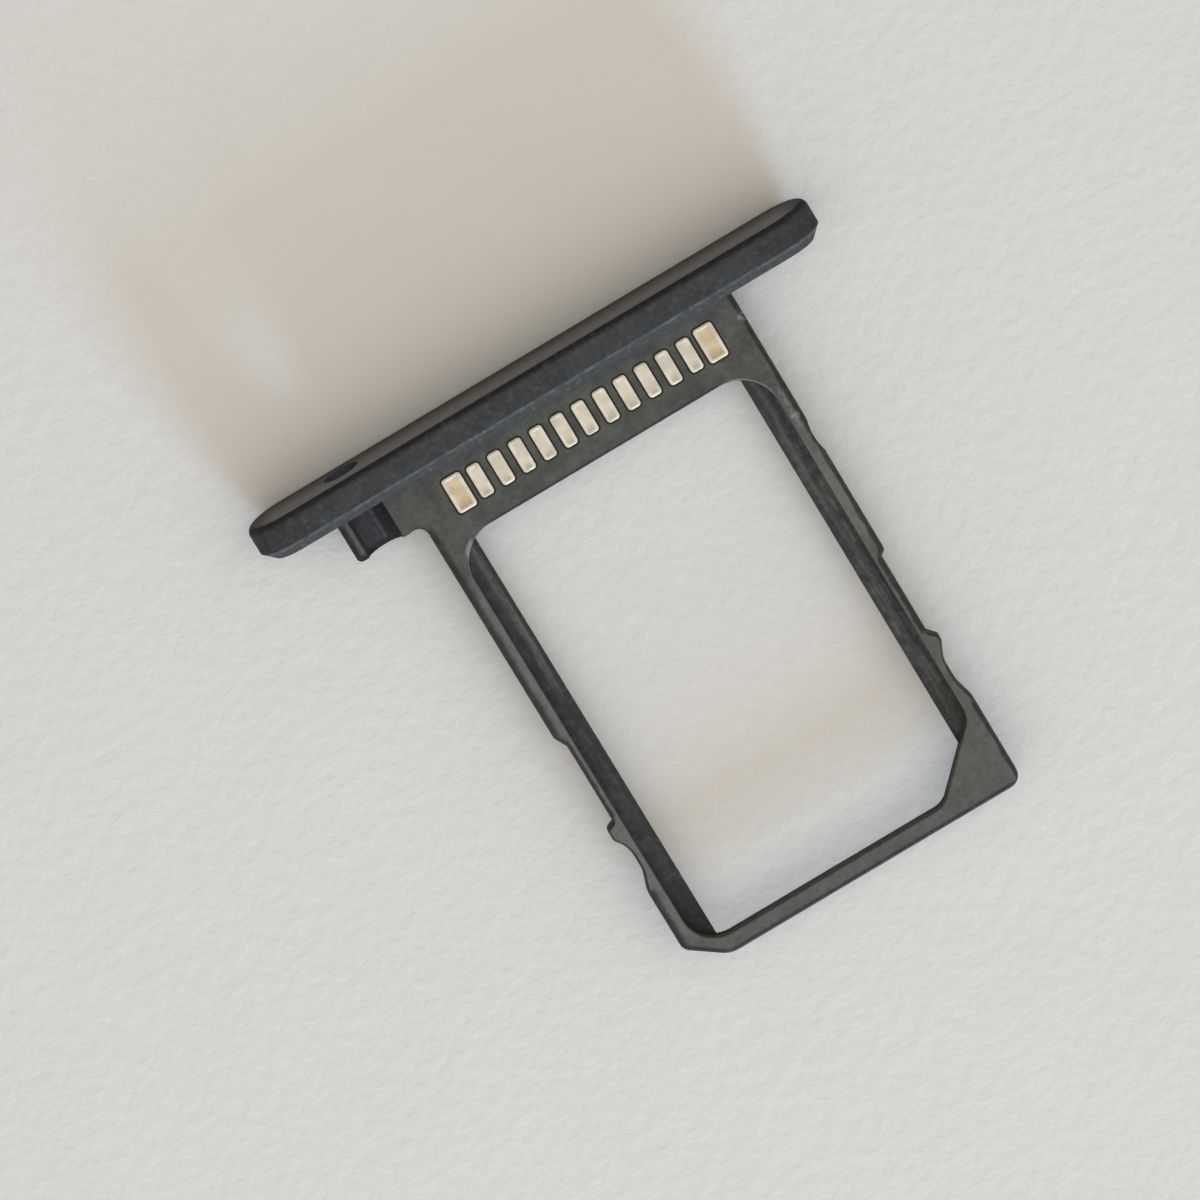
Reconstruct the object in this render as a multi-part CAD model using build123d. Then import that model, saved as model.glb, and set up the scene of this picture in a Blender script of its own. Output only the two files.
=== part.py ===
from build123d import *
import math
import os

# One-piece metal tray for a nano SIM card: a round-ended faceplate, an open frame with two
# card ledges, and a gutter that guides the eject pin. All sizes are in millimetres.
# X runs along the faceplate, +Y points out of its front, +Z is up.

# Card that the tray carries, and the play around it
CARD_WIDTH = 8.8
CARD_LENGTH = 12.3
CARD_CORNER_RADIUS = 0.85
CARD_CORNER_CUT = 1.65
CARD_CLEARANCE = 0.075

# Faceplate
FACE_LENGTH = 16.43
FACE_HEIGHT = 2.1
FACE_THICKNESS = 1.045
FACE_FRONT_ROUND = 0.22
FACE_BACK_CHAMFER = 0.3

# Frame plate behind the faceplate
FRAME_OFFSET = 0.535
FRAME_THICKNESS = 0.5
LEDGE_THICKNESS = 0.2
LEDGE_WIDTH = 0.555
RAIL_WIDTH = 0.385
WEB_LENGTH = 2.075
WEB_CORNER_ROUND = 1.08
END_BAR_WIDTH = 0.49
OUTER_EDGE_ROUND = 0.08
POCKET_EDGE_ROUND = 0.04

# Recess and detent in the outer edge of the left rail, along it from the pocket's web wall
LEFT_RECESS_START = 5.68
LEFT_RECESS_RUN = 0.36
LEFT_RECESS_DEPTH = 0.185
LEFT_DETENT_START = 8.36
LEFT_STEEP_RUN = 0.1
LEFT_TIP_LENGTH = 0.32
LEFT_GENTLE_RUN = 0.36
LEFT_DETENT_HEIGHT = 0.25

# The same for the right rail
RIGHT_RECESS_START = 5.85
RIGHT_RECESS_RUN = 0.1
RIGHT_RECESS_DEPTH = 0.15
RIGHT_DETENT_START = 8.27
RIGHT_STEEP_RUN = 0.24
RIGHT_TIP_LENGTH = 0.14
RIGHT_GENTLE_RUN = 0.45
RIGHT_DETENT_HEIGHT = 0.21

# Sizes that the two rails share
NOTCH_LENGTH = 0.7
FLARE_RUN = 0.56
STEP_ROUND = 0.12
DETENT_ROUND = 0.1
NOTCH_ROUND = 0.8
FLARE_ROUND = 0.6

# Free end of the frame
LEAD_IN_ACROSS = 1.0
LEAD_IN_ALONG = 0.74
LEAD_IN_RAIL_ROUND = 0.32
LEAD_IN_BAR_ROUND = 0.76
END_CORNER_ROUND = 0.36
CUT_CORNER_ROUND = 0.6

# Eject pin hole and the gutter behind it
PIN_HOLE_X = -5.41
PIN_HOLE_DIAMETER = 1.0
GUTTER_CLEARANCE = 0.01
GUTTER_WALL = 0.29
GUTTER_LENGTH = 1.24
GUTTER_CORNER_ROUND = 0.15
SHOULDER_ROUND = 0.28

# Shallow knock in the outer edge of the right rail
KNOCK_POSITION = 2.4
KNOCK_LENGTH = 1.0
KNOCK_DEPTH = 0.07

# Pocket, which has the card's outline moved outwards by the play, apart from its rounder web corners
POCKET_WIDTH = CARD_WIDTH + 2 * CARD_CLEARANCE
POCKET_LENGTH = CARD_LENGTH + 2 * CARD_CLEARANCE
POCKET_CORNER_RADIUS = CARD_CORNER_RADIUS + CARD_CLEARANCE
POCKET_CUT = CARD_CORNER_CUT + (2 - math.sqrt(2)) * CARD_CLEARANCE

# Other sizes that follow from the ones above
WINDOW_WIDTH = POCKET_WIDTH - 2 * LEDGE_WIDTH
RAIL_EDGE = POCKET_WIDTH / 2 + RAIL_WIDTH
FRAME_END = POCKET_LENGTH + END_BAR_WIDTH
OVERALL_LENGTH = FACE_THICKNESS + WEB_LENGTH + FRAME_END

FRONT_Y = OVERALL_LENGTH / 2
BACK_Y = FRONT_Y - FACE_THICKNESS
POCKET_Y = BACK_Y - WEB_LENGTH
GUTTER_RADIUS = PIN_HOLE_DIAMETER / 2 + GUTTER_CLEARANCE

# The pin hole is at half height, and the frame's top is level with its axis
PIN_HOLE_Z = FACE_HEIGHT / 2
FRAME_TOP = PIN_HOLE_Z
FRAME_BOTTOM = FRAME_TOP - FRAME_THICKNESS

# The frame is drawn from the middle of the pocket's web wall
FRAME_PLACE = Pos(FRAME_OFFSET, POCKET_Y, FRAME_BOTTOM)


def rounded_face(corners):
    """Flat face inside a closed outline of (x, y, corner radius)."""
    points = [(x, y) for x, y, _ in corners]
    rounds = [radius for _, _, radius in corners]
    return make_face(FilletPolyline(*points, radius=rounds, close=True))


def rail_edge(recess, detent):
    """Outer edge of one rail from the web to its flared end, as (across, along, corner radius)."""
    recess_start, recess_run, recess_depth = recess
    detent_start, steep_run, tip_length, gentle_run, detent_height = detent
    floor_edge = RAIL_EDGE - recess_depth
    tip_edge = floor_edge + detent_height
    tip = detent_start + steep_run
    notch = tip + tip_length + gentle_run
    flare = notch + NOTCH_LENGTH
    return [
        (RAIL_EDGE, recess_start, STEP_ROUND),
        (floor_edge, recess_start + recess_run, STEP_ROUND),
        (floor_edge, detent_start, DETENT_ROUND),
        (tip_edge, tip, DETENT_ROUND),
        (tip_edge, tip + tip_length, DETENT_ROUND),
        (floor_edge, notch, NOTCH_ROUND),
        (floor_edge, flare, NOTCH_ROUND),
        (RAIL_EDGE, flare + FLARE_RUN, FLARE_ROUND),
    ]


def left_rail():
    """Corners of the left rail's outer edge."""
    recess = (LEFT_RECESS_START, LEFT_RECESS_RUN, LEFT_RECESS_DEPTH)
    detent = (
        LEFT_DETENT_START,
        LEFT_STEEP_RUN,
        LEFT_TIP_LENGTH,
        LEFT_GENTLE_RUN,
        LEFT_DETENT_HEIGHT,
    )
    return [(-across, -along, radius) for across, along, radius in rail_edge(recess, detent)]


def right_rail():
    """Corners of the right rail's outer edge."""
    recess = (RIGHT_RECESS_START, RIGHT_RECESS_RUN, RIGHT_RECESS_DEPTH)
    detent = (
        RIGHT_DETENT_START,
        RIGHT_STEEP_RUN,
        RIGHT_TIP_LENGTH,
        RIGHT_GENTLE_RUN,
        RIGHT_DETENT_HEIGHT,
    )
    return [(across, -along, radius) for across, along, radius in rail_edge(recess, detent)]


def frame_face():
    """Outline of the frame plate, with the shoulder that joins the gutter."""
    inside_plate = WEB_LENGTH + FACE_THICKNESS / 2
    gutter_x = PIN_HOLE_X - FRAME_OFFSET
    shoulder_y = WEB_LENGTH - GUTTER_LENGTH
    left = [
        (gutter_x, inside_plate, 0),
        (gutter_x, shoulder_y, 0),
        (-RAIL_EDGE, shoulder_y, SHOULDER_ROUND),
        *left_rail(),
        (-RAIL_EDGE, LEAD_IN_ALONG - FRAME_END, LEAD_IN_RAIL_ROUND),
        (LEAD_IN_ACROSS - RAIL_EDGE, -FRAME_END, LEAD_IN_BAR_ROUND),
    ]
    right = [
        (RAIL_EDGE, inside_plate, 0),
        *right_rail(),
        (RAIL_EDGE, -FRAME_END, END_CORNER_ROUND),
    ]
    return rounded_face(left + right[::-1])


def pocket_face():
    """Outline of the card with its play: three round corners and one cut corner."""
    half = POCKET_WIDTH / 2
    corners = [
        (-half, 0, WEB_CORNER_ROUND),
        (half, 0, WEB_CORNER_ROUND),
        (half, POCKET_CUT - POCKET_LENGTH, CUT_CORNER_ROUND),
        (half - POCKET_CUT, -POCKET_LENGTH, CUT_CORNER_ROUND),
        (-half, -POCKET_LENGTH, POCKET_CORNER_RADIUS),
    ]
    return rounded_face(corners)


def window_face(pocket):
    """The part of the pocket between the two ledges, which goes right through."""
    strip = Pos(0, -POCKET_LENGTH / 2) * Rectangle(WINDOW_WIDTH, 2 * POCKET_LENGTH)
    return pocket & strip


def frame():
    """Frame plate with the stepped card pocket and rounded edges."""
    pocket = pocket_face()
    plate = extrude(frame_face(), FRAME_THICKNESS)
    levels = plate.edges().group_by(Axis.Z)
    plate = fillet(levels[0] + levels[-1], OUTER_EDGE_ROUND)
    plate -= Pos(0, 0, LEDGE_THICKNESS) * extrude(pocket, FRAME_THICKNESS)
    rim = plate.faces().sort_by(Axis.Z)[-1].inner_wires()[0]
    plate = fillet(rim.edges(), POCKET_EDGE_ROUND)
    return FRAME_PLACE * (plate - extrude(window_face(pocket), LEDGE_THICKNESS))


def faceplate():
    """Round-ended plate with a rounded front edge and a chamfered back edge."""
    section = Plane.XZ * SlotOverall(FACE_LENGTH, FACE_HEIGHT)
    plate = Pos(0, FRONT_Y, PIN_HOLE_Z) * extrude(section, FACE_THICKNESS)
    plate = fillet(plate.edges().group_by(Axis.Y)[-1], FACE_FRONT_ROUND)
    return chamfer(plate.edges().group_by(Axis.Y)[0], FACE_BACK_CHAMFER)


def gutter_block():
    """Half-round block below the pin's path, level with the frame's top."""
    outer = GUTTER_RADIUS + GUTTER_WALL
    section = Circle(outer) - Pos(0, outer) * Rectangle(2 * outer, 2 * outer)
    reach = GUTTER_LENGTH + FACE_THICKNESS / 2
    block = extrude(Plane.XZ * section, reach)
    block = Pos(PIN_HOLE_X, BACK_Y - GUTTER_LENGTH + reach, PIN_HOLE_Z) * block
    free_end = block.edges().group_by(Axis.Y)[0]
    return fillet(free_end.filter_by(GeomType.CIRCLE), GUTTER_CORNER_ROUND)


def pin_channel():
    """Open-topped channel that the eject pin slides along behind the faceplate."""
    width = 2 * GUTTER_RADIUS
    section = Circle(GUTTER_RADIUS) + Pos(0, FACE_HEIGHT / 2) * Rectangle(width, FACE_HEIGHT)
    channel = extrude(Plane.XZ * section, 2 * GUTTER_LENGTH)
    return Pos(PIN_HOLE_X, BACK_Y, PIN_HOLE_Z) * channel


def pin_hole():
    """Through hole in the faceplate for the eject pin."""
    hole = Plane.XZ * Circle(PIN_HOLE_DIAMETER / 2)
    return Pos(PIN_HOLE_X, FRONT_Y, PIN_HOLE_Z) * extrude(hole, FACE_THICKNESS)


def rail_knock():
    """Round scoop that leaves the shallow knock in the rail's outer edge."""
    radius = (KNOCK_LENGTH ** 2 / 4 + KNOCK_DEPTH ** 2) / (2 * KNOCK_DEPTH)
    across = RAIL_EDGE - KNOCK_DEPTH + radius
    scoop = extrude(Pos(across, -KNOCK_POSITION) * Circle(radius), FRAME_THICKNESS)
    return FRAME_PLACE * scoop


def tray():
    """The whole tray as one solid."""
    body = faceplate() + frame() + gutter_block()
    return body - pin_channel() - pin_hole() - rail_knock()


os.makedirs("parts", exist_ok=True)
export_step(tray(), "parts/sim_card_tray.step")
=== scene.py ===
import bmesh
import bpy
import math
from collections import namedtuple
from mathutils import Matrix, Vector


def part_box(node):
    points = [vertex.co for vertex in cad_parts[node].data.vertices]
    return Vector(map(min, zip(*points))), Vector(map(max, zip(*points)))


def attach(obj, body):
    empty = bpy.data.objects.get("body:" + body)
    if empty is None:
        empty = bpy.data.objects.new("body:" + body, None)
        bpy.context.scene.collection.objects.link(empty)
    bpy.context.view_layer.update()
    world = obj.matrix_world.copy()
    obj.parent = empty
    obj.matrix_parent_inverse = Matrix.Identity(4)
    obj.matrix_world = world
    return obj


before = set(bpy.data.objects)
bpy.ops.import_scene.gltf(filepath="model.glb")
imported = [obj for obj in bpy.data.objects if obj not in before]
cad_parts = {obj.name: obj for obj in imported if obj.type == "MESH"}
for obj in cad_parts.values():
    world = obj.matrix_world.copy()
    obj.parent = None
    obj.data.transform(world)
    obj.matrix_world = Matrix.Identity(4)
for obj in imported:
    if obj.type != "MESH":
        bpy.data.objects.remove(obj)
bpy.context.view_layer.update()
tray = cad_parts["sim_card_tray"]
low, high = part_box("sim_card_tray")

# Sizes of the tray in millimetres, the outer ones from its box
MM = 0.001
HALF_LENGTH = high.x / MM
FRONT_Y = high.y / MM
FACE_TOP = high.z / MM
FRAME_END_Y = low.y / MM
FACE_THICKNESS = 1.045
FACE_CHAMFER = 0.3
WEB_LENGTH = 2.075
POCKET_LENGTH = 12.45
POCKET_HALF_WIDTH = 4.475
POCKET_CORNER = 1.08
POCKET_DEPTH = 0.3
LEDGE_WIDTH = 0.555
FRAME_MID_X = 0.535
RAIL_EDGE = 4.86
RECESS_START = 5.86
RECESS_END = 10.1
RECESS_DEPTH = 0.17
DETENT_START = 8.25
FLARE_END = 10.4
LEAD_IN_ACROSS = 1.0
LEAD_IN_ALONG = 0.74
PIN_HOLE_X = -5.41
GUTTER_RADIUS = 0.51
GUTTER_WALL = 0.29
GUTTER_LENGTH = 1.24

# Places on the tray that follow from them
BACK_Y = FRONT_Y - FACE_THICKNESS
CHAMFER_Y = BACK_Y + FACE_CHAMFER
POCKET_Y = BACK_Y - WEB_LENGTH
POCKET_END_Y = POCKET_Y - POCKET_LENGTH
RECESS_START_Y = POCKET_Y - RECESS_START
RECESS_END_Y = POCKET_Y - RECESS_END
DETENT_START_Y = POCKET_Y - DETENT_START
FLARE_END_Y = POCKET_Y - FLARE_END
GUTTER_END_Y = BACK_Y - GUTTER_LENGTH
FRAME_TOP = FACE_TOP / 2
LEDGE_TOP = FRAME_TOP - POCKET_DEPTH

# Row of bared marks on the web, a wide one at each end and narrow ones between
MARK_Y = FRONT_Y - 2.02
MARK_FIRST_X = FRAME_MID_X - 3.647
MARK_LAST_X = FRAME_MID_X + 3.77
MARK_WIDTH = 0.54
MARK_LENGTH = 1.0
SMALL_MARK_COUNT = 11
SMALL_MARK_WIDTH = 0.36
SMALL_MARK_LENGTH = 0.92
MARK_CORNER = 0.09
MARK_LEAST_CORNER = 0.01
MARK_CORNER_STEPS = 5
MARK_BURNT = 0.05
MARK_RIM = 0.1
MARK_RIM_TOP = (0.025, 0.075)
MARK_BURNT_HEIGHT = 0.001
MARK_RIM_HEIGHT = 0.018
MARK_FLOOR_HEIGHT = 0.006

# Colours of the coat, with painted shade, highlight and reflection among them as marked; a pair has the
# first and the second of two shades
FRAME_COAT = ((0.060, 0.063, 0.055, 1), (0.092, 0.096, 0.086, 1))
PALE_RAIL_COAT = (0.127, 0.130, 0.120, 1)
# Painted bluish reflection on the web just behind the faceplate
JOINT_SHEEN = (0.064, 0.074, 0.077, 1)
PLATE_COAT = ((0.033, 0.035, 0.039, 1), (0.046, 0.048, 0.053, 1))
# Painted sheen on the faceplate's front: its dark shade at the foot and the ends, its pale one higher
# up
FRONT_SHADE_AND_SHEEN = ((0.060, 0.058, 0.057, 1), (0.172, 0.172, 0.176, 1))
# Painted dark reflection on the rounded top edge of the front
FRONT_EDGE_DARK_REFLECTION = (0.019, 0.019, 0.020, 1)
# Painted shade on the back chamfer, set by its facing
CHAMFER_SHADE = (0.037, 0.036, 0.033, 1)
LEDGE_COAT = ((0.024, 0.024, 0.025, 1), (0.138, 0.134, 0.120, 1))
# Painted shade inside the gutter and the painted highlights along it
GUTTER_SHADE_AND_HIGHLIGHT = ((0.020, 0.020, 0.024, 1), (0.135, 0.135, 0.140, 1))
# Darkest coat: real dark speckles and darker plate ends, and painted shade along the frame's edges
DARK_COAT_AND_SHADE = (0.014, 0.015, 0.014, 1)
# Painted shade on the frame's walls and underside, in two cloudy shades
WALL_SHADE = ((0.048, 0.049, 0.048, 1), (0.070, 0.071, 0.068, 1))
# Pale worn coat for scuffs and wear, also used for the painted highlight on the pocket's web corners
WORN_COAT_AND_HIGHLIGHT = (0.20, 0.21, 0.20, 1)

# Colours of the bared metal and of the paper
RIM_METAL = ((0.56, 0.54, 0.47, 1), (0.74, 0.72, 0.65, 1))
FLOOR_METAL = ((0.42, 0.32, 0.20, 1), (0.70, 0.58, 0.39, 1))
SMALL_FLOOR_METAL = ((0.46, 0.41, 0.31, 1), (0.72, 0.66, 0.53, 1))
BURNT_METAL = (0.030, 0.025, 0.018, 1)
PAPER = ((0.650, 0.643, 0.615, 1), (0.680, 0.673, 0.645, 1))

# Light from the room, by direction, with the slopes where one shade gives way to the next
ROOM_SIDES = (1.104, 1.025, 0.922, 1)
ROOM_ABOVE = (0.937, 0.900, 0.842, 1)
ROOM_FRONT = (0.36, 0.325, 0.27, 1)
ROOM_ABOVE_FROM = (0.70, 0.92)
ROOM_FRONT_FROM = (0.28, 0.55)

# Low window behind the frame's free end, in metres
WINDOW_AT = (0.014, -0.392, 0.0763)
WINDOW_WIDTH = 0.13
WINDOW_HEIGHT = 0.09
WINDOW_POWER = 2.06
WINDOW_COLOUR = (0.50, 0.71, 1.0)

# Photograph's camera, found from the tray's own edges
CAMERA_AT = Vector((8.45, 54.847, 239.112)) * MM
CAMERA_TURN = [math.radians(angle) for angle in (-12.0038, -4.4357, -30.5762)]
CAMERA_LENS = 287.954
CAMERA_CLIP = 10 * MM

# A point of a surface inside a material: its tree, its place in millimetres, and how far it faces
# up and to the front
Point = namedtuple("Point", "tree spot x y z up ahead")


def add(tree, kind, inputs=(), **settings):
    """A new node with its settings made and its sockets set or linked."""
    made = tree.nodes.new(kind)
    for name, value in settings.items():
        setattr(made, name, value)
    for socket, value in dict(inputs).items():
        if isinstance(value, bpy.types.NodeSocket):
            tree.links.new(value, made.inputs[socket])
        else:
            made.inputs[socket].default_value = value
    return made


def calc(tree, operation, first, second=0.0):
    """One sum on two numbers."""
    return add(tree, "ShaderNodeMath", {0: first, 1: second}, operation=operation).outputs[0]


def product(tree, first, *others):
    """All the numbers multiplied together."""
    for other in others:
        first = calc(tree, "MULTIPLY", first, other)
    return first


def most(tree, first, *others):
    """The largest of the numbers."""
    for other in others:
        first = calc(tree, "MAXIMUM", first, other)
    return first


def opposite(tree, share):
    """1 where the share is 0, and 0 where it is 1."""
    return calc(tree, "SUBTRACT", 1.0, share)


def fade(tree, value, start, end):
    """0 at start, 1 at end, with a soft change between."""
    inputs = {"Value": value, "From Min": start, "From Max": end}
    return add(tree, "ShaderNodeMapRange", inputs, interpolation_type="SMOOTHSTEP").outputs[0]


def spread(tree, share, lowest, highest):
    """A 0 to 1 share stretched to the given range."""
    inputs = {"Value": share, "To Min": lowest, "To Max": highest}
    return add(tree, "ShaderNodeMapRange", inputs).outputs[0]


def within(tree, value, start, end, soft):
    """1 between start and end, fading out on both sides."""
    rise = fade(tree, value, start - soft, start + soft)
    fall = fade(tree, value, end + soft, end - soft)
    return product(tree, rise, fall)


def mix(tree, share, first, second):
    """Colour that goes from the first to the second."""
    inputs = {0: share, 6: first, 7: second}
    return add(tree, "ShaderNodeMix", inputs, data_type="RGBA").outputs[2]


def blend(tree, share, first, second):
    """Number that goes from the first to the second."""
    return add(tree, "ShaderNodeMix", {0: share, 2: first, 3: second}).outputs[0]


def noise(point, pattern, spot=None):
    """Soft noise; the pattern has its lumps to the millimetre, detail and roughness."""
    scale, detail, roughness = pattern
    inputs = {"Vector": spot or point.spot, "Scale": scale, "Detail": detail, "Roughness": roughness}
    return add(point.tree, "ShaderNodeTexNoise", inputs).outputs[0]


STREAK_NOISE = (1.0, 3.0, 0.6)


def streaks(point, lumps):
    """Noise with its own number of lumps to the millimetre along each axis."""
    inputs = {0: point.spot, 1: lumps}
    stretched = add(point.tree, "ShaderNodeVectorMath", inputs, operation="MULTIPLY").outputs[0]
    return noise(point, STREAK_NOISE, stretched)


def distance(tree, across, along):
    """Length of a step in plan."""
    squares = calc(tree, "ADD", product(tree, across, across), product(tree, along, along))
    return calc(tree, "SQRT", squares)


def new_material(name):
    """Material with nothing in its tree, and the point that its nodes start from."""
    made = bpy.data.materials.new(name)
    made.use_nodes = True
    tree = made.node_tree
    tree.nodes.clear()
    spot = add(tree, "ShaderNodeTexCoord").outputs["Object"]
    spot = add(tree, "ShaderNodeVectorMath", {0: spot, 3: 1 / MM}, operation="SCALE").outputs[0]
    parts = add(tree, "ShaderNodeSeparateXYZ", {0: spot}).outputs
    normal = add(tree, "ShaderNodeNewGeometry").outputs["Normal"]
    facing = add(tree, "ShaderNodeSeparateXYZ", {0: normal}).outputs
    return made, Point(tree, spot, parts[0], parts[1], parts[2], facing[2], facing[1])


def close(point, **inputs):
    """Shader with the given inputs, sent to the material's output."""
    named = {name.replace("_", " "): value for name, value in inputs.items()}
    shader = add(point.tree, "ShaderNodeBsdfPrincipled", named)
    add(point.tree, "ShaderNodeOutputMaterial", {"Surface": shader.outputs[0]})


BUMP_STRENGTH = 0.6


def bump(point, height, tallest):
    """Normal that follows the height, whose tallest lumps are given in millimetres."""
    inputs = {"Height": height, "Distance": tallest * MM, "Strength": BUMP_STRENGTH}
    return add(point.tree, "ShaderNodeBump", inputs).outputs[0]


SIDE_CHANGE = 1.0


def right_side(point):
    """0 on the left half of the frame, 1 on its right half."""
    return fade(point.tree, point.x, FRAME_MID_X - SIDE_CHANGE, FRAME_MID_X + SIDE_CHANGE)


# Painted shade along the rails, as distances from their outer edges
BORDER_WIDTH = 0.17
LEFT_BORDER_WIDTH = 0.28
BORDER_DARK = 0.09
BORDER_STREAKS = (0.5, 1.8, 0.5)
BORDER_UNEVEN = (0.2, 1.8)
BORDER_START_Y = (GUTTER_END_Y + 0.05, GUTTER_END_Y - 0.4)
RECESS_SOFT = 0.18
DETENT_SOFT = 0.08


def side_border(point, across):
    """Painted shade along the rails' outer edges, wide on the left one and left out beside the detents.
    """
    tree = point.tree
    recessed = within(tree, point.y, RECESS_END_Y, RECESS_START_Y, RECESS_SOFT)
    edge = calc(tree, "SUBTRACT", RAIL_EDGE, product(tree, recessed, RECESS_DEPTH))
    from_edge = calc(tree, "SUBTRACT", edge, calc(tree, "ABSOLUTE", across))
    right = right_side(point)
    past_gutter = fade(tree, point.y, *BORDER_START_Y)
    wide = product(tree, opposite(tree, right), past_gutter, opposite(tree, recessed))
    width = spread(tree, wide, BORDER_WIDTH, LEFT_BORDER_WIDTH)
    uneven = spread(tree, streaks(point, BORDER_STREAKS), *BORDER_UNEVEN)
    side = fade(tree, from_edge, product(tree, width, uneven), BORDER_DARK)
    at_detent = within(tree, point.y, FLARE_END_Y, DETENT_START_Y, DETENT_SOFT)
    return product(tree, side, most(tree, past_gutter, right), opposite(tree, at_detent))


# Painted shade on the rounded outer edges, as distances out from the pocket and as facing
RIM_START = 0.06
RIM_FULL = 0.12
RIM_FACING = (0.999, 0.965)


def rounded_rim(point, across):
    """Painted shade line on the frame's rounded outer edges, along every bend of them."""
    tree = point.tree
    from_middle = calc(tree, "ABSOLUTE", across)
    beside = fade(tree, from_middle, POCKET_HALF_WIDTH + RIM_START, POCKET_HALF_WIDTH + RIM_FULL)
    beyond = fade(tree, point.y, POCKET_END_Y - RIM_START, POCKET_END_Y - RIM_FULL)
    return product(tree, most(tree, beside, beyond), fade(tree, point.up, *RIM_FACING))


# Painted shade line along the web's edge
WEB_LINE_Y = (POCKET_Y - 0.02, POCKET_Y + 0.07)
WEB_LINE_SOFT = 0.04
WEB_LINE_END_SOFT = 0.2


def web_line(point, across):
    """Painted shade line along the straight part of the web's edge."""
    tree = point.tree
    straight = POCKET_HALF_WIDTH - POCKET_CORNER
    at_edge = within(tree, point.y, *WEB_LINE_Y, WEB_LINE_SOFT)
    return product(tree, at_edge, within(tree, across, -straight, straight, WEB_LINE_END_SOFT))


END_BORDER_DARK = 0.08


def end_border(point, across):
    """Painted shade along the frame's free end and its slanted corner."""
    tree = point.tree
    end = fade(tree, point.y, FRAME_END_Y + BORDER_WIDTH, FRAME_END_Y + END_BORDER_DARK)
    slope_x = product(tree, calc(tree, "ADD", across, RAIL_EDGE), LEAD_IN_ALONG)
    slope_y = calc(tree, "SUBTRACT", point.y, FRAME_END_Y + LEAD_IN_ALONG)
    slope_y = product(tree, slope_y, LEAD_IN_ACROSS)
    slope_length = math.hypot(LEAD_IN_ALONG, LEAD_IN_ACROSS)
    from_slope = product(tree, calc(tree, "ADD", slope_x, slope_y), 1 / slope_length)
    return most(tree, end, fade(tree, from_slope, BORDER_WIDTH, END_BORDER_DARK))


def outer_border(point):
    """Share of the painted shade along all the frame's edges."""
    across = calc(point.tree, "SUBTRACT", point.x, FRAME_MID_X)
    makers = (side_border, rounded_rim, web_line, end_border)
    return most(point.tree, *[maker(point, across) for maker in makers])


# Paler stretches of the rails
PAST_WEB_Y = (POCKET_Y, POCKET_Y - 2.0)
PAST_WEB_SHARE = 0.3
PALE_RIGHT_Y = (POCKET_Y - 5.4, POCKET_Y - 2.4)
PALE_RIGHT_SOFT = 0.8
PALE_LEFT_START_Y = (POCKET_Y - 0.6, POCKET_Y - 1.6)
PALE_LEFT_END_Y = (POCKET_END_Y + 0.8, POCKET_END_Y)
PALE_SHARE = 0.95


def pale_rails(point):
    """Share of the paler coat: a little past the web, and more along part of each rail."""
    tree = point.tree
    right = right_side(point)
    past_web = product(tree, fade(tree, point.y, *PAST_WEB_Y), PAST_WEB_SHARE)
    on_right = product(tree, right, within(tree, point.y, *PALE_RIGHT_Y, PALE_RIGHT_SOFT))
    left_start = fade(tree, point.y, *PALE_LEFT_START_Y)
    left_end = opposite(tree, fade(tree, point.y, *PALE_LEFT_END_Y))
    on_left = product(tree, opposite(tree, right), left_start, left_end)
    return most(tree, past_web, product(tree, most(tree, on_right, on_left), PALE_SHARE))


# Frame's coat
FRAME_CLOUDS = (1.3, 5.0, 0.65)
CLOUD_RANGE = (0.32, 0.68)
JOINT_SHEEN_Y = (BACK_Y - 0.36, BACK_Y - 0.06)
BORDER_RAGGED = (3.5, 4.0, 0.5)
BORDER_SHARE = (0.75, 1.0)
WALL_FACING = (0.9, 0.5)


def frame_colour(point):
    """Cloudy greenish grey, paler along the rails, with a painted bluish reflection behind the
    faceplate and painted shade on its edges and walls.
    """
    tree = point.tree
    clouds = fade(tree, noise(point, FRAME_CLOUDS), *CLOUD_RANGE)
    colour = mix(tree, clouds, *FRAME_COAT)
    colour = mix(tree, pale_rails(point), colour, PALE_RAIL_COAT)
    # Painted bluish reflection on the web next to the faceplate
    colour = mix(tree, fade(tree, point.y, *JOINT_SHEEN_Y), colour, JOINT_SHEEN)
    ragged = spread(tree, noise(point, BORDER_RAGGED), *BORDER_SHARE)
    # Painted shade along the frame's edges
    colour = mix(tree, product(tree, outer_border(point), ragged), colour, DARK_COAT_AND_SHADE)
    # Painted shade on the walls and underside
    wall = mix(tree, clouds, *WALL_SHADE)
    return mix(tree, fade(tree, point.up, *WALL_FACING), colour, wall)


# Faceplate's coat
PLATE_CLOUDS = (1.6, 5.0, 0.65)
PLATE_END_X = (5.6, 7.4)
PLATE_END_SHARE = 0.36
PLATE_SCUFFS = (1.5, 16.0, 16.0)
SCUFF_RANGE = (0.62, 0.72)
SCUFF_SHARE = 0.12
FRONT_EDGE_FACING = (0.25, 0.5)
FRONT_FACING = (0.85, 0.97)
FRONT_Z = (0.1, FACE_TOP - 0.4)
FRONT_END_X = (HALF_LENGTH - 0.15, HALF_LENGTH - 0.9)


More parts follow.
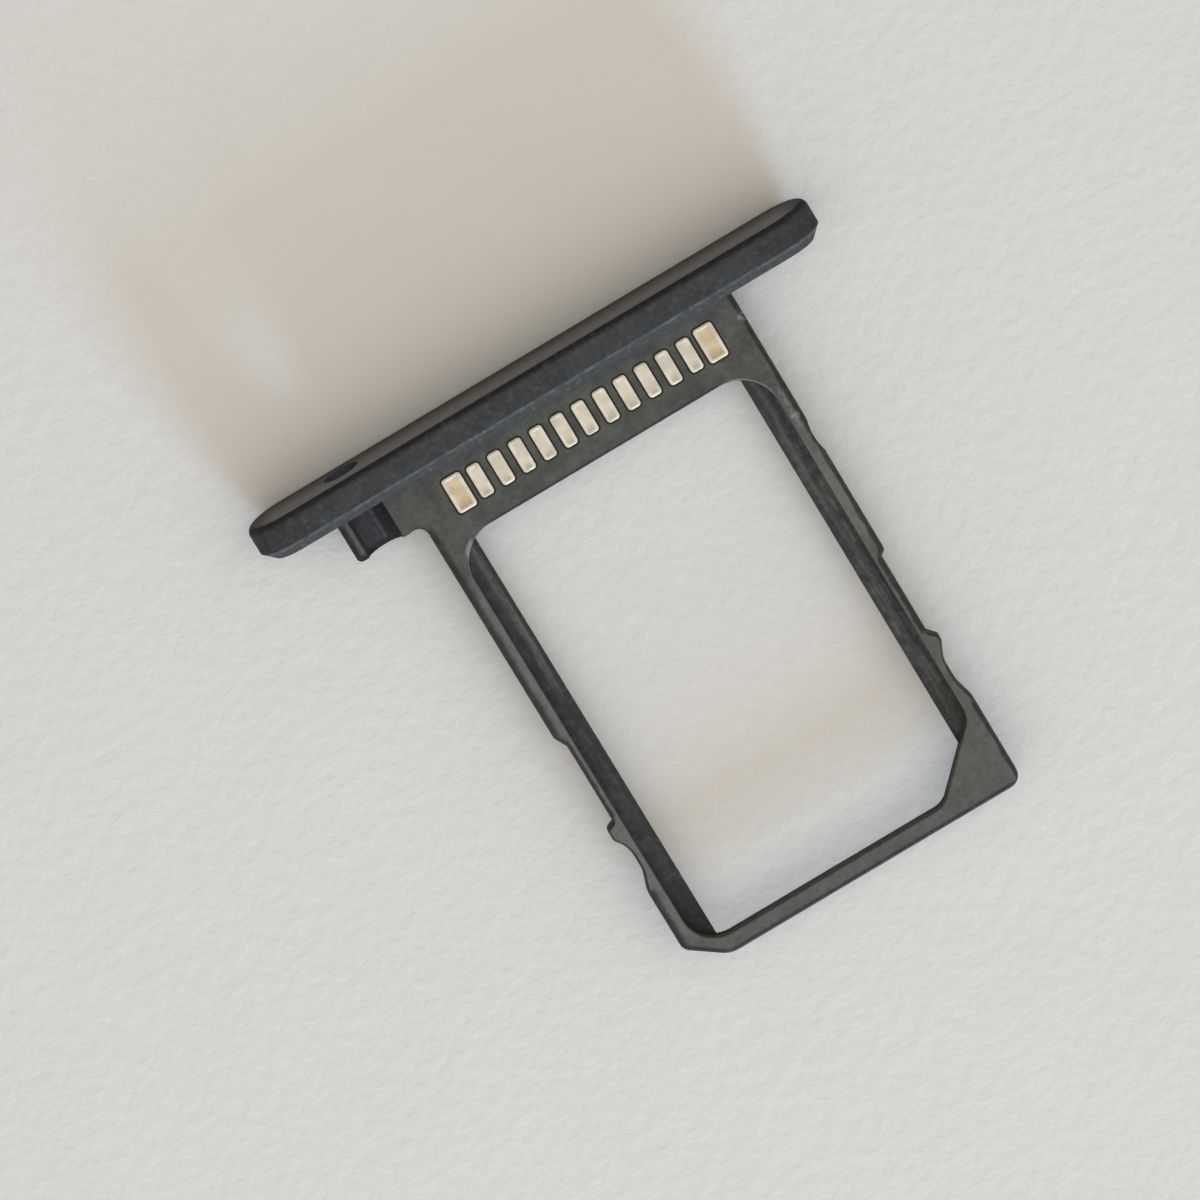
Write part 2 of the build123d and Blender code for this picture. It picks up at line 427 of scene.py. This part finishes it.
def plate_colour(point):
    """Nearly black, with scuffs on top, darker ends, a painted dark reflection on the front's top edge
    and a painted sheen on the front that darkens towards its foot and ends.
    """
    tree = point.tree
    from_middle = calc(tree, "ABSOLUTE", point.x)
    clouds = fade(tree, noise(point, PLATE_CLOUDS), *CLOUD_RANGE)
    colour = mix(tree, clouds, *PLATE_COAT)
    to_end = product(tree, fade(tree, from_middle, *PLATE_END_X), PLATE_END_SHARE)
    colour = mix(tree, to_end, colour, DARK_COAT_AND_SHADE)
    scuffs = product(tree, fade(tree, streaks(point, PLATE_SCUFFS), *SCUFF_RANGE), SCUFF_SHARE)
    colour = mix(tree, scuffs, colour, WORN_COAT_AND_HIGHLIGHT)
    # Painted dark reflection on the rounded top edge of the front
    colour = mix(tree, fade(tree, point.ahead, *FRONT_EDGE_FACING), colour, FRONT_EDGE_DARK_REFLECTION)
    # Painted sheen on the front, darker towards its foot and its ends
    front_sheen_share = product(tree, fade(tree, point.z, *FRONT_Z), fade(tree, from_middle, *FRONT_END_X))
    front_sheen = mix(tree, front_sheen_share, *FRONT_SHADE_AND_SHEEN)
    return mix(tree, fade(tree, point.ahead, *FRONT_FACING), colour, front_sheen)


# Back chamfer's painted shade and the worn line where it starts
CHAMFER_FACING = (-0.3, -0.5)
CHAMFER_STREAKS = (7.0, 3.0, 3.0)
CHAMFER_STREAK_RANGE = (0.6, 0.7)
CHAMFER_STREAK_SHARE = 0.15
CORNER_LINE_Y = (CHAMFER_Y - 0.10, CHAMFER_Y - 0.02)
CORNER_LINE_SOFT = 0.03
CORNER_PATCHES = (2.5, 3.0, 0.5)
CORNER_PATCH_RANGE = (0.3, 0.65)
CORNER_LINE_SHARE = 0.2


def chamfer_colour(point, colour):
    """The faceplate's colour with the painted shade, the streaks and the worn line of its back chamfer.
    """
    tree = point.tree
    on_chamfer = fade(tree, point.ahead, *CHAMFER_FACING)
    # Painted shade on the back chamfer, by its facing
    colour = mix(tree, on_chamfer, colour, CHAMFER_SHADE)
    marks = fade(tree, streaks(point, CHAMFER_STREAKS), *CHAMFER_STREAK_RANGE)
    colour = mix(tree, product(tree, on_chamfer, marks, CHAMFER_STREAK_SHARE), colour, WORN_COAT_AND_HIGHLIGHT)
    at_corner = within(tree, point.y, *CORNER_LINE_Y, CORNER_LINE_SOFT)
    patchy = fade(tree, noise(point, CORNER_PATCHES), *CORNER_PATCH_RANGE)
    return mix(tree, product(tree, at_corner, patchy, CORNER_LINE_SHARE), colour, WORN_COAT_AND_HIGHLIGHT)


# Paler strip on each ledge: start, end and softness, as distances from the pocket's wall
LEFT_STRIP = (0.28, 0.45, 0.06)
RIGHT_STRIP = (0.22, 0.38, 0.08)
LEFT_STRIP_SHARE = 0.62
RIGHT_STRIP_SHARE = (0.36, 0.5)
STRIP_UPPER_Y = (-0.8, 1.2)
STRIP_WANDER = (0.6, 0.9, 0.6)
STRIP_WANDER_RANGE = (-0.14, 0.14)


def ledge_strip(point, depth):
    """Share of the wandering paler strip, which fades out along the left ledge."""
    tree = point.tree
    wander = spread(tree, streaks(point, STRIP_WANDER), *STRIP_WANDER_RANGE)
    depth = calc(tree, "ADD", depth, wander)
    upper = fade(tree, point.y, *STRIP_UPPER_Y)
    left = product(tree, within(tree, depth, *LEFT_STRIP), upper, LEFT_STRIP_SHARE)
    right = product(tree, within(tree, depth, *RIGHT_STRIP), spread(tree, upper, *RIGHT_STRIP_SHARE))
    return blend(tree, right_side(point), left, right)


# Ledges' coat
LEDGE_SHARE = (0.15, 0.36)
LEDGE_STREAKS = (11.0, 0.4, 1.0)
STREAK_RANGE = (0.3, 0.7)
LEDGE_STREAK_SHARE = (0.1, 1.25)
STRIP_STREAK_SHARE = (0.6, 1.2)
LEDGE_MOTTLE = (2.6, 4.0, 0.6)
LEDGE_MOTTLE_SHARE = (0.3, 1.65)
LEDGE_EDGE = (LEDGE_WIDTH - 0.13, LEDGE_WIDTH - 0.05)
LEDGE_EDGE_SHARE = (1.0, 0.4)
LEDGE_END_SHADE_Y = (POCKET_END_Y + 1.8, POCKET_END_Y + 0.6)
LEDGE_END_SHADE_SHARE = (1.0, 0.1)


def ledge_colour(point):
    """Dark and mottled, with fine streaks along the ledge, a paler strip and painted shade near the end
    wall.
    """
    tree = point.tree
    from_middle = calc(tree, "ABSOLUTE", calc(tree, "SUBTRACT", point.x, FRAME_MID_X))
    depth = calc(tree, "SUBTRACT", POCKET_HALF_WIDTH, from_middle)
    lines = fade(tree, streaks(point, LEDGE_STREAKS), *STREAK_RANGE)
    mottled = fade(tree, noise(point, LEDGE_MOTTLE), *CLOUD_RANGE)
    plain = product(
        tree,
        spread(tree, right_side(point), *LEDGE_SHARE),
        spread(tree, lines, *LEDGE_STREAK_SHARE),
        spread(tree, mottled, *LEDGE_MOTTLE_SHARE),
    )
    strip = product(tree, ledge_strip(point, depth), spread(tree, lines, *STRIP_STREAK_SHARE))
    at_window = spread(tree, fade(tree, depth, *LEDGE_EDGE), *LEDGE_EDGE_SHARE)
    # Painted shade on the ledges near the pocket's end wall
    low_end = spread(tree, fade(tree, point.y, *LEDGE_END_SHADE_Y), *LEDGE_END_SHADE_SHARE)
    return mix(tree, product(tree, most(tree, plain, strip), at_window, low_end), *LEDGE_COAT)


# Gutter's painted shade and highlights: start, end and softness of its pale places, as distances from
# the pin hole's axis
GUTTER_HIGHLIGHT = (0.06, 0.13, 0.07)
GUTTER_HIGHLIGHT_SHARE = 0.6
GUTTER_WALL_HIGHLIGHT = (-GUTTER_RADIUS - 0.13, -GUTTER_RADIUS - 0.02, 0.06)
GUTTER_WALL_HIGHLIGHT_SHARE = 0.7
GUTTER_LEFT = (-GUTTER_RADIUS + 0.06, 0.05, 0.05)
GUTTER_LEFT_SHARE = (0.16, 0.3)
GUTTER_STREAKS = (9.0, 1.2, 1.0)
GUTTER_PALE_Y = (GUTTER_END_Y + 0.14, BACK_Y - 0.14, 0.06)


def gutter_colour(point):
    """Channel in painted shade, with a painted highlight along it and on its wall, paler streaks on its
    left half, and painted shade at both ends.
    """
    tree = point.tree
    across = calc(tree, "SUBTRACT", point.x, PIN_HOLE_X)
    # Painted highlights along the channel and on its wall
    highlight = product(tree, within(tree, across, *GUTTER_HIGHLIGHT), GUTTER_HIGHLIGHT_SHARE)
    wall = product(tree, within(tree, across, *GUTTER_WALL_HIGHLIGHT), GUTTER_WALL_HIGHLIGHT_SHARE)
    lines = fade(tree, streaks(point, GUTTER_STREAKS), *STREAK_RANGE)
    lines = spread(tree, lines, *GUTTER_LEFT_SHARE)
    left_half = product(tree, within(tree, across, *GUTTER_LEFT), lines)
    between_ends = within(tree, point.y, *GUTTER_PALE_Y)
    return mix(tree, product(tree, most(tree, highlight, wall, left_half), between_ends), *GUTTER_SHADE_AND_HIGHLIGHT)


# Painted highlight on the pocket's web corners, as distances from the corner's centre
LEFT_HIGHLIGHT_RING = (POCKET_CORNER, POCKET_CORNER + 0.11, 0.03)
LEFT_HIGHLIGHT_X = (-0.92, -0.62, 0.06)
RIGHT_HIGHLIGHT_RING = (POCKET_CORNER + 0.01, POCKET_CORNER + 0.05, 0.02)
RIGHT_HIGHLIGHT_X = (0.2, 0.4)
RIGHT_HIGHLIGHT_Y = (0.1, 0.3)
RIGHT_HIGHLIGHT_SHARE = 0.5


def corner_highlight(point):
    """Share of painted highlight at the pocket's two web corners."""
    tree = point.tree
    reach = POCKET_HALF_WIDTH - POCKET_CORNER
    along = calc(tree, "SUBTRACT", point.y, POCKET_Y - POCKET_CORNER)
    left_x = calc(tree, "SUBTRACT", point.x, FRAME_MID_X - reach)
    left = within(tree, distance(tree, left_x, along), *LEFT_HIGHLIGHT_RING)
    left = product(tree, left, within(tree, left_x, *LEFT_HIGHLIGHT_X))
    right_x = calc(tree, "SUBTRACT", point.x, FRAME_MID_X + reach)
    right = within(tree, distance(tree, right_x, along), *RIGHT_HIGHLIGHT_RING)
    right = product(tree, right, fade(tree, right_x, *RIGHT_HIGHLIGHT_X), RIGHT_HIGHLIGHT_SHARE)
    right = product(tree, right, fade(tree, along, *RIGHT_HIGHLIGHT_Y))
    return most(tree, left, right)


# Chip in the right rail with a rubbed line beside it, and a nick in the web's right edge
CHIP_AT = (5.18, 3.26)
NICK_AT = (5.31, 6.16)
CHIP_RADIUS = (0.17, 0.04)
CHIP_RAGGED = (9.0, 4.0, 0.5)
CHIP_RANGE = (0.4, 0.55)
RUBBED_X = (-0.06, 0.05, 0.04)
RUBBED_Y = (-0.4, 0.85, 0.15)
RUBBED_SHARE = (0.08, 0.45)


def rail_wear(point):
    """Share of bare shine in the chip, along the rubbed line and in the nick."""
    tree = point.tree
    ragged = fade(tree, noise(point, CHIP_RAGGED), *CHIP_RANGE)
    spots = []
    for place_x, place_y in (NICK_AT, CHIP_AT):
        across = calc(tree, "SUBTRACT", point.x, place_x)
        along = calc(tree, "SUBTRACT", point.y, place_y)
        spots.append(product(tree, fade(tree, distance(tree, across, along), *CHIP_RADIUS), ragged))
    rubbed = product(
        tree,
        within(tree, across, *RUBBED_X),
        within(tree, along, *RUBBED_Y),
        spread(tree, ragged, *RUBBED_SHARE),
    )
    return most(tree, rubbed, *spots)


# Bounds of the zones that have a coat of their own, and of the frame's top
ZONE_SOFT = 0.01
PLATE_Y = (BACK_Y - 0.02, BACK_Y + 0.01)
LEDGE_Z = (LEDGE_TOP + 0.1, LEDGE_TOP + 0.02)
LEDGE_FACING = (-0.6, -0.3)
GUTTER_X = (PIN_HOLE_X - GUTTER_RADIUS - GUTTER_WALL, PIN_HOLE_X + GUTTER_RADIUS)
GUTTER_Y = (GUTTER_END_Y - 0.1, BACK_Y)
POCKET_X = (FRAME_MID_X - POCKET_HALF_WIDTH, FRAME_MID_X + POCKET_HALF_WIDTH)
WEAR_AND_HIGHLIGHT_Z = (FRAME_TOP - 0.12, FRAME_TOP - 0.05)


def zoned_colour(point):
    """Colour of the coat, with a shade of its own on the ledges and on the faceplate, and painted shade
    and highlights in the gutter.
    """
    tree = point.tree
    in_gutter = within(tree, point.x, *GUTTER_X, ZONE_SOFT)
    in_gutter = product(tree, in_gutter, within(tree, point.y, *GUTTER_Y, ZONE_SOFT))
    on_ledge = product(
        tree,
        within(tree, point.x, *POCKET_X, ZONE_SOFT),
        within(tree, point.y, POCKET_END_Y, POCKET_Y, ZONE_SOFT),
        fade(tree, point.z, *LEDGE_Z),
        fade(tree, point.up, *LEDGE_FACING),
    )
    on_plate = fade(tree, point.y, *PLATE_Y)
    colour = mix(tree, in_gutter, frame_colour(point), gutter_colour(point))
    colour = mix(tree, on_ledge, colour, ledge_colour(point))
    return mix(tree, on_plate, colour, chamfer_colour(point, plate_colour(point)))


# Lumps and grain of the whole coat
COAT_LUMPS = (7.0, 4.0, 0.6)
DARK_LUMP_RANGE = (0.5, 0.3)
DARK_LUMP_SHARE = 0.26
PALE_LUMP_RANGE = (0.5, 0.7)
PALE_LUMP_SHARE = 0.11
COAT_GRAIN = (14.0, 4.0, 0.6)
COAT_GRAIN_HEIGHT = 0.004
COAT_ROUGHNESS = (0.5, 0.72)
STEEP_FACING = (0.98, 0.7)
STEEP_ROUGHNESS = 0.9
COAT_SHINE = 0.2


def coat_material():
    """Thin dark coat of the whole tray, finely speckled, worn in places, with painted shade and
    highlights.
    """
    made, point = new_material("dark_coat")
    tree = point.tree
    colour = zoned_colour(point)
    lumps = noise(point, COAT_LUMPS)
    dark_lumps = product(tree, fade(tree, lumps, *DARK_LUMP_RANGE), DARK_LUMP_SHARE)
    colour = mix(tree, dark_lumps, colour, DARK_COAT_AND_SHADE)
    pale_lumps = product(tree, fade(tree, lumps, *PALE_LUMP_RANGE), PALE_LUMP_SHARE)
    colour = mix(tree, pale_lumps, colour, WORN_COAT_AND_HIGHLIGHT)
    # Real wear on the chip and the nick, and painted highlight on the pocket's web corners
    wear_and_highlight = product(tree, most(tree, corner_highlight(point), rail_wear(point)), fade(tree, point.z, *WEAR_AND_HIGHLIGHT_Z))
    colour = mix(tree, wear_and_highlight, colour, WORN_COAT_AND_HIGHLIGHT)
    grain = noise(point, COAT_GRAIN)
    steep = product(tree, fade(tree, point.up, *STEEP_FACING), STEEP_ROUGHNESS)
    close(
        point,
        Base_Color=colour,
        Roughness=most(tree, spread(tree, grain, *COAT_ROUGHNESS), steep),
        Specular_IOR_Level=COAT_SHINE,
        Normal=bump(point, grain, COAT_GRAIN_HEIGHT),
    )
    return made


# Bared metal, by its height above the frame and its place in the row
TARNISH = (3.0, 3.0, 0.5)
TARNISH_RANGE = (0.3, 0.7)
GOLD_END_Y = (MARK_Y - 0.12, MARK_Y - 0.42)
GOLD_END_SHARE = 0.8
GOLD_SHARE = (0.6, 1.0)
ROW_MIDDLE = (MARK_FIRST_X + MARK_LAST_X) / 2
WIDE_START = MARK_LAST_X - ROW_MIDDLE - MARK_WIDTH / 2
WIDE_CHANGE = 0.1
RIM_Z = (FRAME_TOP + MARK_FLOOR_HEIGHT, FRAME_TOP + MARK_RIM_HEIGHT - 0.004)
BURNT_Z = (FRAME_TOP + MARK_FLOOR_HEIGHT - 0.001, FRAME_TOP + MARK_BURNT_HEIGHT + 0.001)
METAL_GRAIN = (24.0, 2.0, 0.5)
METAL_GRAIN_HEIGHT = 0.004
METAL_ROUGHNESS = (0.3, 0.5)
METAL_SHARE = 0.8


def bare_material():
    """Pale metal bared through the coat: bright rims, tarnished floors and burnt outlines."""
    made, point = new_material("bared_metal")
    tree = point.tree
    tarnish = fade(tree, noise(point, TARNISH), *TARNISH_RANGE)
    low_end = product(tree, fade(tree, point.y, *GOLD_END_Y), GOLD_END_SHARE)
    gold = product(tree, opposite(tree, low_end), spread(tree, tarnish, *GOLD_SHARE))
    from_middle = calc(tree, "ABSOLUTE", calc(tree, "SUBTRACT", point.x, ROW_MIDDLE))
    on_wide = fade(tree, from_middle, WIDE_START - WIDE_CHANGE, WIDE_START)
    narrow_floor = mix(tree, gold, *SMALL_FLOOR_METAL)
    colour = mix(tree, on_wide, narrow_floor, mix(tree, gold, *FLOOR_METAL))
    colour = mix(tree, fade(tree, point.z, *RIM_Z), colour, mix(tree, tarnish, *RIM_METAL))
    close(
        point,
        Base_Color=mix(tree, fade(tree, point.z, *BURNT_Z), colour, BURNT_METAL),
        Metallic=METAL_SHARE,
        Roughness=spread(tree, tarnish, *METAL_ROUGHNESS),
        Normal=bump(point, noise(point, METAL_GRAIN), METAL_GRAIN_HEIGHT),
    )
    return made


# Paper, in millimetres apart from the sheet's size
PAPER_SHADE = (0.25, 4.0, 0.5)
PAPER_GRAIN = (2.2, 5.0, 0.6)
PAPER_GRAIN_HEIGHT = 0.04
PAPER_ROUGHNESS = 0.9
PAPER_SIZE = 1.2


def paper_material():
    """Plain pale paper with a faint grain."""
    made, point = new_material("paper")
    close(
        point,
        Base_Color=mix(point.tree, noise(point, PAPER_SHADE), *PAPER),
        Roughness=PAPER_ROUGHNESS,
        Normal=bump(point, noise(point, PAPER_GRAIN), PAPER_GRAIN_HEIGHT),
    )
    return made


def rounded_outline(width, length, corner):
    """Points of a rectangle with round corners, about its middle."""
    points = []
    for quarter, (side_x, side_y) in enumerate([(1, 1), (-1, 1), (-1, -1), (1, -1)]):
        middle_x = side_x * (width / 2 - corner)
        middle_y = side_y * (length / 2 - corner)
        for step in range(MARK_CORNER_STEPS + 1):
            angle = (quarter + step / MARK_CORNER_STEPS) * math.pi / 2
            points.append((middle_x + corner * math.cos(angle), middle_y + corner * math.sin(angle)))
    return points


def add_mark(mesh, mid_x, width, length):
    """One bared mark: a burnt outline, a low rim and a flat floor."""
    loops = [
        (-MARK_BURNT, MARK_BURNT_HEIGHT),
        (0.0, MARK_BURNT_HEIGHT),
        *[(inset, MARK_RIM_HEIGHT) for inset in MARK_RIM_TOP],
        (MARK_RIM, MARK_FLOOR_HEIGHT),
    ]
    rings = []
    for inset, height in loops:
        corner = max(MARK_CORNER - inset, MARK_LEAST_CORNER)
        outline = rounded_outline(width - 2 * inset, length - 2 * inset, corner)
        places = [Vector((mid_x + px, MARK_Y + py, FRAME_TOP + height)) * MM for px, py in outline]
        rings.append([mesh.verts.new(place) for place in places])
    for outer, inner in zip(rings, rings[1:]):
        for index in range(len(outer)):
            after = (index + 1) % len(outer)
            mesh.faces.new((outer[index], outer[after], inner[after], inner[index])).smooth = True
    mesh.faces.new(rings[-1])


def bared_marks(material):
    """Row of plain marks on the web: a wide one at each end and narrow ones between."""
    mesh = bmesh.new()
    pitch = (MARK_LAST_X - MARK_FIRST_X) / (SMALL_MARK_COUNT + 1)
    add_mark(mesh, MARK_FIRST_X, MARK_WIDTH, MARK_LENGTH)
    add_mark(mesh, MARK_LAST_X, MARK_WIDTH, MARK_LENGTH)
    for number in range(1, SMALL_MARK_COUNT + 1):
        add_mark(mesh, MARK_FIRST_X + number * pitch, SMALL_MARK_WIDTH, SMALL_MARK_LENGTH)
    data = bpy.data.meshes.new("bared_marks")
    mesh.to_mesh(data)
    mesh.free()
    data.materials.append(material)
    made = bpy.data.objects.new("bared_marks", data)
    bpy.context.scene.collection.objects.link(made)
    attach(made, "root")


def paper_floor():
    """Sheet of paper that the tray lies on."""
    bpy.ops.mesh.primitive_plane_add(size=PAPER_SIZE)
    floor = bpy.context.object
    floor.name = "paper"
    floor.data.materials.append(paper_material())


def room_light():
    """Soft light from all round, a little warm, weaker from the front side."""
    world = bpy.data.worlds.new("room")
    bpy.context.scene.world = world
    world.use_nodes = True
    tree = world.node_tree
    tree.nodes.clear()
    way = add(tree, "ShaderNodeTexCoord").outputs["Generated"]
    parts = add(tree, "ShaderNodeSeparateXYZ", {0: way}).outputs
    colour = mix(tree, fade(tree, parts[2], *ROOM_ABOVE_FROM), ROOM_SIDES, ROOM_ABOVE)
    colour = mix(tree, fade(tree, parts[1], *ROOM_FRONT_FROM), colour, ROOM_FRONT)
    background = add(tree, "ShaderNodeBackground", {"Color": colour, "Strength": 1.0})
    add(tree, "ShaderNodeOutputWorld", {"Surface": background.outputs[0]})


def window_light():
    """Low soft lamp behind the frame's free end."""
    lamp = bpy.data.lights.new("window", "AREA")
    lamp.shape = "RECTANGLE"
    lamp.size = WINDOW_WIDTH
    lamp.size_y = WINDOW_HEIGHT
    lamp.energy = WINDOW_POWER
    lamp.color = WINDOW_COLOUR
    made = bpy.data.objects.new("window", lamp)
    made.location = WINDOW_AT
    made.rotation_euler = (-Vector(WINDOW_AT)).to_track_quat("-Z", "Y").to_euler()
    bpy.context.scene.collection.objects.link(made)


def photo_camera():
    """Camera where the photograph was taken from."""
    data = bpy.data.cameras.new("camera")
    data.lens = CAMERA_LENS
    data.clip_start = CAMERA_CLIP
    made = bpy.data.objects.new("camera", data)
    made.location = CAMERA_AT
    made.rotation_euler = CAMERA_TURN
    bpy.context.scene.collection.objects.link(made)
    bpy.context.scene.camera = made


tray.data.materials.clear()
tray.data.materials.append(coat_material())
bared_marks(bare_material())
paper_floor()
room_light()
window_light()
photo_camera()
bpy.context.scene.view_settings.view_transform = "Standard"
